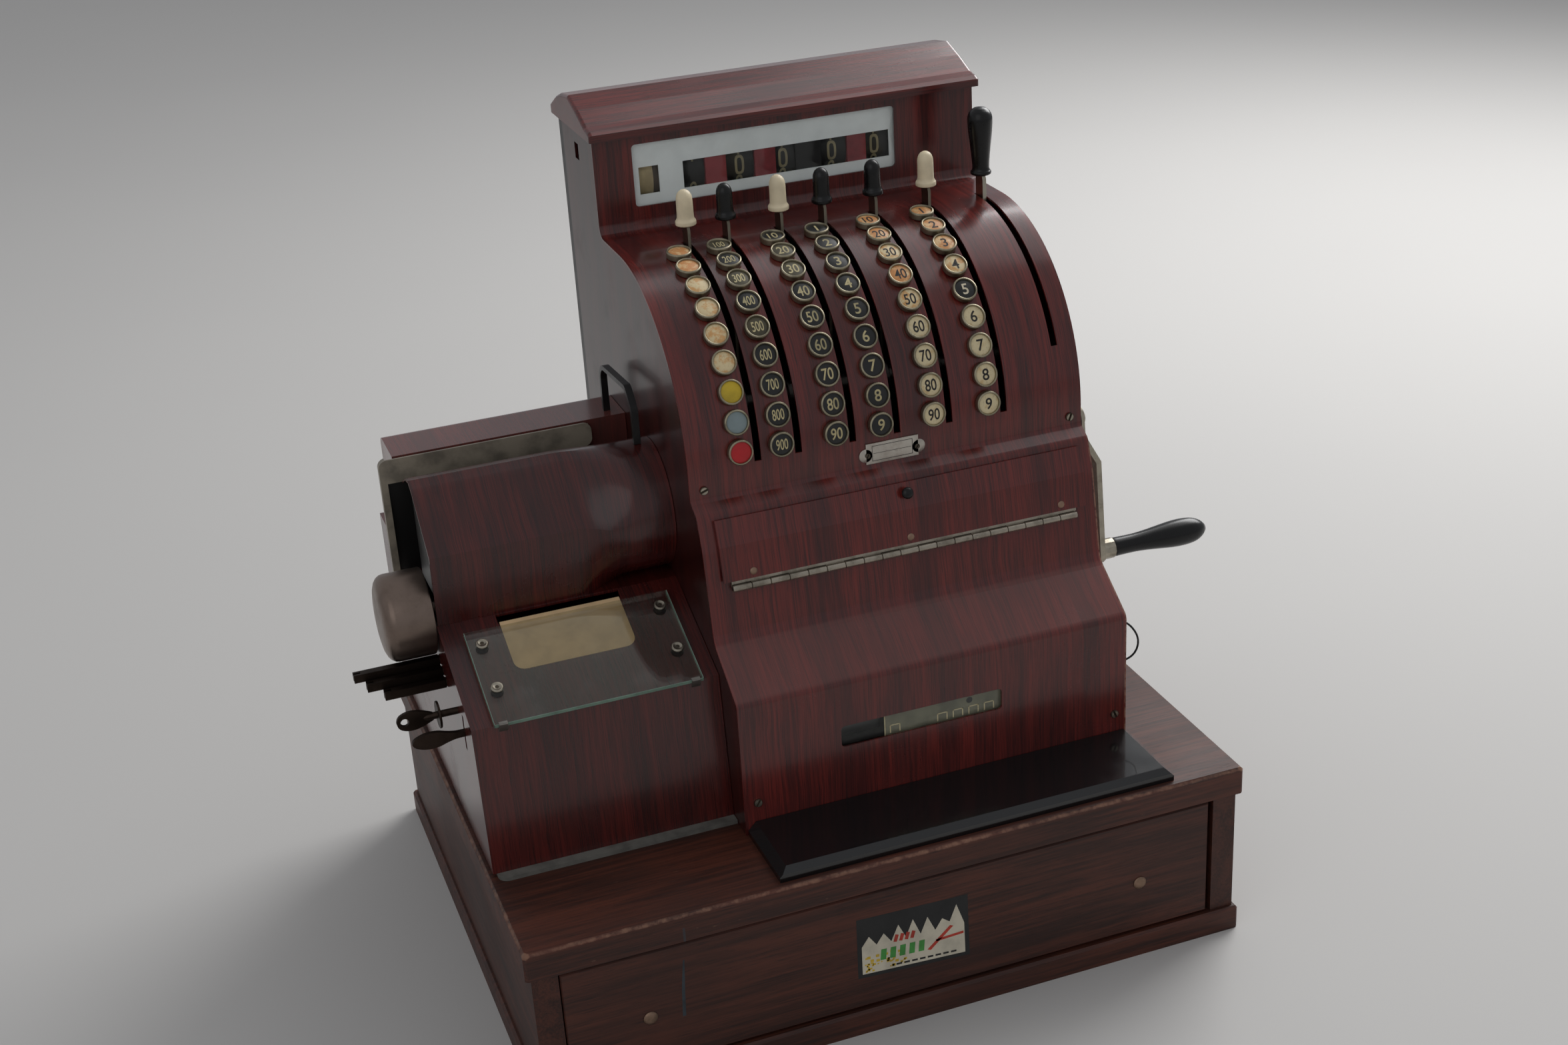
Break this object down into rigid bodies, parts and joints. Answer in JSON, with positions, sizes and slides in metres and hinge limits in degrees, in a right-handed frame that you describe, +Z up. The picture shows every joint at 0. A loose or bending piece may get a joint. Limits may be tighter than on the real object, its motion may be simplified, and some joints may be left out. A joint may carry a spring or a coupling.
{
  "type": "antique lever-set cash register with cash drawer",
  "caption": "Old mechanical cash register: wood-grained steel case with setting levers, number discs and crank on a wooden cabinet with a cash drawer.",
  "frame": {"origin": "centre of the wooden cabinet's underside", "axes": "+X to the operator's right along the longest side, +Y to the back, +Z up out of the cabinet's underside"},
  "size_m": [0.6343, 0.429, 0.5936],
  "materials": {
    "cabinet_wood": "dark varnished timber, worn",
    "drawer_wood": "plain drawer timber",
    "grained_paint": "glossy wood-grained enamel",
    "side_paint": "smooth glossy enamel",
    "black_enamel": "black gloss enamel",
    "grey_enamel": "worn grey enamel",
    "steel": "plain steel",
    "nickel": "brushed nickel plate",
    "mask_white": "white enamel",
    "wheel_paint": "matt black",
    "disc_face": "aged cream under a nickel rim",
    "ivory": "ivory",
    "black_plastic": "polished black",
    "clear_glass": "clear",
    "cream_paper": "paper",
    "cord": "black cord"
  },
  "bodies": {
    "register": {"base_top_board": "cabinet_wood", "base_bottom_board": "cabinet_wood", "base_walls": "cabinet_wood", "printer_base_plate": "grey_enamel", "front_slab": "black_enamel", "case_front": "grained_paint", "case_left_side": "side_paint", "case_right_side": "side_paint", "case_floor": "steel", "case_back_cover": "black_enamel", "top_hood": "grained_paint", "window_panes": "clear_glass", "indicator_mask": "mask_white", "indicator_shaft": "steel", "indicator_dividers": "wheel_paint", "lever_shaft": "steel", "number_discs": "disc_face", "nameplate": "nickel", "cover_screws": "nickel", "counter_works": "steel", "hinge_fixed_leaf": "nickel", "cord_loop": "cord", "printer_case": "grained_paint", "printer_hood": "grained_paint", "printer_glass": "clear_glass", "paper": "cream_paper", "paper_box": "side_paint", "paper_box_frame": "side_paint", "paper_bail": "black_enamel", "rocker_pin": "steel"},
    "drawer": {"drawer_front": "cabinet_wood", "drawer_tray": "drawer_wood", "drawer_studs": "nickel"},
    "flap": {"counter_flap": "grained_paint", "flap_fittings": "black_plastic", "hinge_moving_leaf": "nickel"},
    "main_lever": {"main_lever": "black_plastic"},
    "crank": {"crank_shaft": "steel", "crank_arm": "nickel"},
    "crank_handle": {"crank_handle": "black_plastic"},
    "feed_drum": {"feed_drum": "nickel"},
    "paper_roll": {"paper_roll": "cream_paper"},
    "lock_key": {"lock_key": "steel"},
    "side_rocker": {"side_rocker": "steel"},
    "date_spindle_1": {"date_spindle_1": "steel"},
    "date_spindle_2": {"date_spindle_2": "steel"},
    "date_spindle_3": {"date_spindle_3": "steel"},
    "lever_1": {"setting_lever_1": "ivory"},
    "wheel_1": {"indicator_wheel_1": "wheel_paint"},
    "lever_2": {"setting_lever_2": "black_plastic"},
    "wheel_2": {"indicator_wheel_2": "wheel_paint"},
    "lever_3": {"setting_lever_3": "ivory"},
    "wheel_3": {"indicator_wheel_3": "wheel_paint"},
    "lever_4": {"setting_lever_4": "black_plastic"},
    "wheel_4": {"indicator_wheel_4": "wheel_paint"},
    "lever_5": {"setting_lever_5": "black_plastic"},
    "wheel_5": {"indicator_wheel_5": "wheel_paint"},
    "lever_6": {"setting_lever_6": "ivory"},
    "wheel_6": {"indicator_wheel_6": "wheel_paint"}
  },
  "joints": [
    {"name": "drawer_slide", "type": "slide", "parent": "register", "child": "drawer", "axis": [0, -1, 0], "range_m": [0, 0.3]},
    {"name": "flap_hinge", "type": "hinge", "parent": "register", "child": "flap", "pos_m": [0, -0.101, 0.3044], "axis": [1, 0, 0], "range_deg": [0, 150]},
    {"name": "main_lever_swing", "type": "hinge", "parent": "register", "child": "main_lever", "pos_m": [0, 0.051, 0.3745], "axis": [1, 0, 0], "range_deg": [0, 64]},
    {"name": "crank_turn", "type": "hinge", "parent": "register", "child": "crank", "pos_m": [0, -0.0575, 0.359], "axis": [1, 0, 0], "continuous": true},
    {"name": "feed_drum_turn", "type": "hinge", "parent": "register", "child": "feed_drum", "pos_m": [0, 0.0005, 0.286], "axis": [1, 0, 0], "continuous": true},
    {"name": "paper_roll_turn", "type": "hinge", "parent": "register", "child": "paper_roll", "pos_m": [0, 0.0985, 0.325], "axis": [1, 0, 0], "continuous": true},
    {"name": "lock_key_turn", "type": "hinge", "parent": "register", "child": "lock_key", "pos_m": [0, -0.0645, 0.2395], "axis": [1, 0, 0], "range_deg": [-90, 90]},
    {"name": "side_rocker_rock", "type": "hinge", "parent": "register", "child": "side_rocker", "pos_m": [-0.232, -0.0815, 0.231], "axis": [0, 1, 0], "range_deg": [-14, 14]},
    {"name": "crank_handle_turn", "type": "hinge", "parent": "crank", "child": "crank_handle", "pos_m": [0, -0.06854, 0.25398], "axis": [1, 0, 0], "continuous": true},
    {"name": "date_spindle_1_turn", "type": "hinge", "parent": "register", "child": "date_spindle_1", "pos_m": [0, -0.0145, 0.254], "axis": [1, 0, 0], "continuous": true},
    {"name": "date_spindle_2_turn", "type": "hinge", "parent": "register", "child": "date_spindle_2", "pos_m": [0, -0.023, 0.2495], "axis": [1, 0, 0], "continuous": true},
    {"name": "date_spindle_3_turn", "type": "hinge", "parent": "register", "child": "date_spindle_3", "pos_m": [0, -0.0315, 0.245], "axis": [1, 0, 0], "continuous": true},
    {"name": "lever_1_swing", "type": "hinge", "parent": "register", "child": "lever_1", "pos_m": [0, 0.051, 0.3745], "axis": [1, 0, 0], "range_deg": [0, 82.26]},
    {"name": "wheel_1_turn", "type": "hinge", "parent": "register", "child": "wheel_1", "pos_m": [0, 0.1295, 0.535], "axis": [1, 0, 0], "range_deg": [-5, 330]},
    {"name": "lever_2_swing", "type": "hinge", "parent": "register", "child": "lever_2", "pos_m": [0, 0.051, 0.3745], "axis": [1, 0, 0], "range_deg": [0, 82.26]},
    {"name": "wheel_2_turn", "type": "hinge", "parent": "register", "child": "wheel_2", "pos_m": [0, 0.1295, 0.535], "axis": [1, 0, 0], "range_deg": [-5, 330]},
    {"name": "lever_3_swing", "type": "hinge", "parent": "register", "child": "lever_3", "pos_m": [0, 0.051, 0.3745], "axis": [1, 0, 0], "range_deg": [0, 82.26]},
    {"name": "wheel_3_turn", "type": "hinge", "parent": "register", "child": "wheel_3", "pos_m": [0, 0.1295, 0.535], "axis": [1, 0, 0], "range_deg": [-5, 330]},
    {"name": "lever_4_swing", "type": "hinge", "parent": "register", "child": "lever_4", "pos_m": [0, 0.051, 0.3745], "axis": [1, 0, 0], "range_deg": [0, 82.26]},
    {"name": "wheel_4_turn", "type": "hinge", "parent": "register", "child": "wheel_4", "pos_m": [0, 0.1295, 0.535], "axis": [1, 0, 0], "range_deg": [-5, 330]},
    {"name": "lever_5_swing", "type": "hinge", "parent": "register", "child": "lever_5", "pos_m": [0, 0.051, 0.3745], "axis": [1, 0, 0], "range_deg": [0, 82.26]},
    {"name": "wheel_5_turn", "type": "hinge", "parent": "register", "child": "wheel_5", "pos_m": [0, 0.1295, 0.535], "axis": [1, 0, 0], "range_deg": [-5, 330]},
    {"name": "lever_6_swing", "type": "hinge", "parent": "register", "child": "lever_6", "pos_m": [0, 0.051, 0.3745], "axis": [1, 0, 0], "range_deg": [0, 82.26]},
    {"name": "wheel_6_turn", "type": "hinge", "parent": "register", "child": "wheel_6", "pos_m": [0, 0.1295, 0.535], "axis": [1, 0, 0], "range_deg": [-5, 330]}
  ],
  "couplings": [
    {"joint": "wheel_1_turn", "follows": "lever_1_swing", "ratio": 3.9258},
    {"joint": "wheel_2_turn", "follows": "lever_2_swing", "ratio": 3.9258},
    {"joint": "wheel_3_turn", "follows": "lever_3_swing", "ratio": 3.9258},
    {"joint": "wheel_4_turn", "follows": "lever_4_swing", "ratio": 3.9258},
    {"joint": "wheel_5_turn", "follows": "lever_5_swing", "ratio": 3.9258},
    {"joint": "wheel_6_turn", "follows": "lever_6_swing", "ratio": 3.9258}
  ]
}
